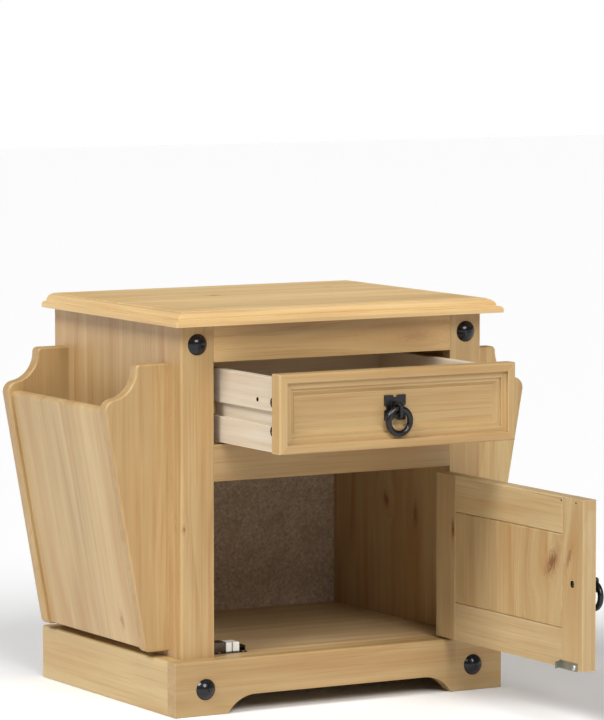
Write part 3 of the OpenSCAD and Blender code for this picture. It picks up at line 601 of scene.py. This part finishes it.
def screw(name, place, way, radius, rise, body, material, turn=0.4):
    """A cross-head screw. place is the middle of its seat in mm, way the direction its
    head faces, rise the height of its dome and turn the angle of its cross."""
    deep = 0.55 * radius
    outline = [(0.0, -deep), (0.55 * radius, -deep), (radius, -0.12 * rise), (radius, 0.25 * rise)]
    outline += [(radius * math.cos(a), rise * (0.25 + 0.75 * math.sin(a)))
                for a in (0.35, 0.7, 1.05, 1.35)] + [(0.0, rise)]
    outline = [(r * MM, h * MM) for r, h in outline]
    head = mesh_object(name, lambda bm: lathe(bm, outline), material)
    arm, width, depth = 0.62 * radius * MM, 0.17 * radius * MM, 0.9 * rise * MM

    def cross(bm):
        for quarter in (0, 1):
            made = bmesh.ops.create_cube(bm, size=1.0)["verts"]
            size = (arm, width, depth) if quarter == 0 else (width, arm, depth)
            bmesh.ops.scale(bm, verts=made, vec=[2 * v for v in size])
            bmesh.ops.translate(bm, verts=made, vec=(0, 0, rise * MM))

    cutter = mesh_object(name + "_cut", cross, material)
    cut = head.modifiers.new("cross", "BOOLEAN")
    cut.object = cutter
    cut.solver = "EXACT"
    cut.use_self = True
    depsgraph = bpy.context.evaluated_depsgraph_get()
    solid = bpy.data.meshes.new_from_object(head.evaluated_get(depsgraph))
    head.modifiers.clear()
    head.data = solid
    bpy.data.objects.remove(cutter)
    stand(head, place, way, turn)
    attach(head, body)
    return head


def middle(box, axis):
    """The middle of a box along one axis, in mm."""
    return (box[0][axis] + box[1][axis]) / 2 / MM


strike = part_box("door_strike")
STRIKE_THICK = 1.2
strike_seat = (strike[1][0] / MM - STRIKE_THICK, strike[0][1] / MM + 6.4, middle(strike, 2) - 0.4)
strike_screw = screw("strike_screw", strike_seat, (-1, 0, 0), 3.5, 2.1, "door", zinc)

# one screw through each ear of the catch's base, heads flat enough for the strike to pass
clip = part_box("catch_clip")
BASE_THICK = 1.1
ear_y = clip[0][1] / MM + 2.7
for k, ear_x in enumerate((clip[0][0] / MM + 8.0, clip[1][0] / MM - 4.5)):
    catch_screw = screw(f"catch_screw_{k + 1}", (ear_x, ear_y, clip[0][2] / MM + BASE_THICK),
                        (0, 0, 1), 1.9, 0.5, "cabinet", zinc, turn=0.7 * k)

# Three screws in each hinge leaf, the middle one nearer the leaf's free edge. The seats are
# taken from boxes that reach out to the knuckles, so the heads lie in the wood behind the
# leaves and don't show.
HINGE_HEIGHT = 40.0
LEAF_THICK = 0.8
HINGE_SCREWS = ((7.0, 7.5), (20.0, 4.0), (33.0, 7.5))    # height, distance from the free edge
for body, leaf, way in (("cabinet", "hinge_frame_leaves", (-1, 0, 0)),
                        ("door", "hinge_door_leaves", (0, -1, 0))):
    lo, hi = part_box(leaf)
    for low in (lo[2] / MM, hi[2] / MM - HINGE_HEIGHT):
        for k, (height, inset) in enumerate(HINGE_SCREWS):
            if body == "cabinet":
                seat = (hi[0] / MM - LEAF_THICK, hi[1] / MM - inset, low + height)
            else:
                seat = (lo[0] / MM + inset, lo[1] / MM, low + height)
            hinge_screw = screw(f"{leaf}_screw_{round(low)}_{k + 1}", seat, way, 2.0, 0.16, body,
                                brass, turn=0.5 * k)

# ------------------------------------------------------------------ painted shade in bored holes

def painted_shade_cup(name, place, way, radius, wall, depth, body, open_through=False):
    """Painted shade inside a bored hole: a dark cup, or a tube where something sits inside."""
    # the rim stays just below the board's face
    rim, inner, wall_end = -0.15, radius - wall, wall - depth
    outline = [(radius, rim), (radius, -depth), (inner, -depth), (inner, rim), (radius, rim)]
    if not open_through:
        outline = [(0.0, -depth), (radius, -depth), (radius, rim), (inner, rim), (inner, wall_end),
                   (0.0, wall_end)]
    cup = mesh_object(name, lambda bm: lathe(bm, [(r * MM, h * MM) for r, h in outline]), hole_shade_paint)
    stand(cup, place, way)
    for polygon in cup.data.polygons:
        polygon.use_smooth = False
    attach(cup, body)


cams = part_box("drawer_cams")
CAM_R = 6.0
cam_y = middle(cams, 1)
cam_zs = (cams[0][2] / MM + CAM_R, cams[1][2] / MM - CAM_R)
for side, sign in (("left", -1), ("right", 1)):
    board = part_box(f"drawer_{side}_side")
    face = (board[0] if sign < 0 else board[1])[0] / MM
    way = (sign, 0, 0)
    painted_shade_cup(f"drawer_{side}_hole_painted_shade", (face, cam_y + 38.0, cam_zs[1] + 1.0), way,
           2.96, 0.3, 7.8, "drawer")
    for k, cam_z in enumerate(cam_zs):
        painted_shade_cup(f"drawer_{side}_cam_wall_{k + 1}", (face, cam_y, cam_z), way,
               6.66, 0.3, 8.5, "drawer", open_through=True)

stile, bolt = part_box("door_free_stile"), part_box("door_pull_bolt")
door_face = stile[0][0] / MM
HOLE_INSETS = (15.8, 48.2)    # from the door's free edge
HOLE_DROP = 5.0               # from its top
for k, inset in enumerate(HOLE_INSETS):
    hole = (door_face, stile[0][1] / MM + inset, stile[1][2] / MM - HOLE_DROP)
    painted_shade_cup(f"door_hole_wall_{k + 1}", hole, (-1, 0, 0), 1.37, 0.15, 4.8, "door")
painted_shade_cup("door_bolt_seat_painted_shade", (door_face, middle(bolt, 1), middle(bolt, 2)), (-1, 0, 0),
       4.66, 0.25, 2.9, "door", open_through=True)

# ------------------------------------------------------------------ floor, light and camera

floor_mat = Tree("floor")
floor_mat.bsdf.inputs["Base Color"].default_value = (0.93, 0.93, 0.93, 1.0)
floor_mat.bsdf.inputs["Roughness"].default_value = 0.7
floor_mesh = bpy.data.meshes.new("floor")
floor_mesh.from_pydata([(-14, -14, 0), (14, -14, 0), (14, 14, 0), (-14, 14, 0)], [], [(0, 1, 2, 3)])
floor = bpy.data.objects.new("floor", floor_mesh)
floor.location.z = -0.0003
floor_mesh.materials.append(floor_mat.mat)
bpy.context.scene.collection.objects.link(floor)

world = bpy.data.worlds.new("studio")
bpy.context.scene.world = world
world.use_nodes = True
# white at the horizon and below it, dimmer overhead
sky = world.node_tree
sky_way = sky.nodes.new("ShaderNodeSeparateXYZ")
sky.links.new(sky.nodes.new("ShaderNodeTexCoord").outputs["Generated"], sky_way.inputs[0])
sky_fade = sky.nodes.new("ShaderNodeMapRange")
sky_fade.interpolation_type = "SMOOTHSTEP"
for socket, value in zip(sky_fade.inputs[1:5], (0.03, 0.16, 1.0, 0.14)):
    socket.default_value = value
sky.links.new(sky_way.outputs[2], sky_fade.inputs[0])
sky.links.new(sky_fade.outputs[0], sky.nodes["Background"].inputs[1])
sky.nodes["Background"].inputs[0].default_value = (1.0, 1.0, 1.0, 1.0)


def soft_sun(name, towards, angle, strength):
    """A wide even light from one direction, as from a large softbox far away."""
    lamp = bpy.data.lights.new(name, "SUN")
    lamp.angle = math.radians(angle)
    lamp.energy = strength
    ob = bpy.data.objects.new(name, lamp)
    ob.rotation_mode = "QUATERNION"
    ob.rotation_quaternion = Vector(towards).to_track_quat("Z", "Y")
    bpy.context.scene.collection.objects.link(ob)


soft_sun("key_left", (-0.66, -0.16, 0.73), 26.0, 2.55)
soft_sun("key_front", (-0.1, -0.78, 0.62), 28.0, 2.0)

scene = bpy.context.scene
scene.view_settings.view_transform = "Standard"
scene.view_settings.look = "None"
scene.view_settings.exposure = 0.0

camera = bpy.data.cameras.new("camera")
camera.sensor_width = 36.0
camera.lens = 220.42
camera.clip_end = 60.0
camera_object = bpy.data.objects.new("camera", camera)
scene.collection.objects.link(camera_object)
scene.camera = camera_object
target = Vector((0.046, -0.002, 0.4152))
yaw, pitch, away = math.radians(29.83), math.radians(5.296), 5.6761
back = Vector((-math.sin(yaw) * math.cos(pitch), -math.cos(yaw) * math.cos(pitch), math.sin(pitch)))
camera_object.location = target + back * away
camera_object.rotation_mode = "QUATERNION"
camera_object.rotation_quaternion = (-back).to_track_quat("-Z", "Y")
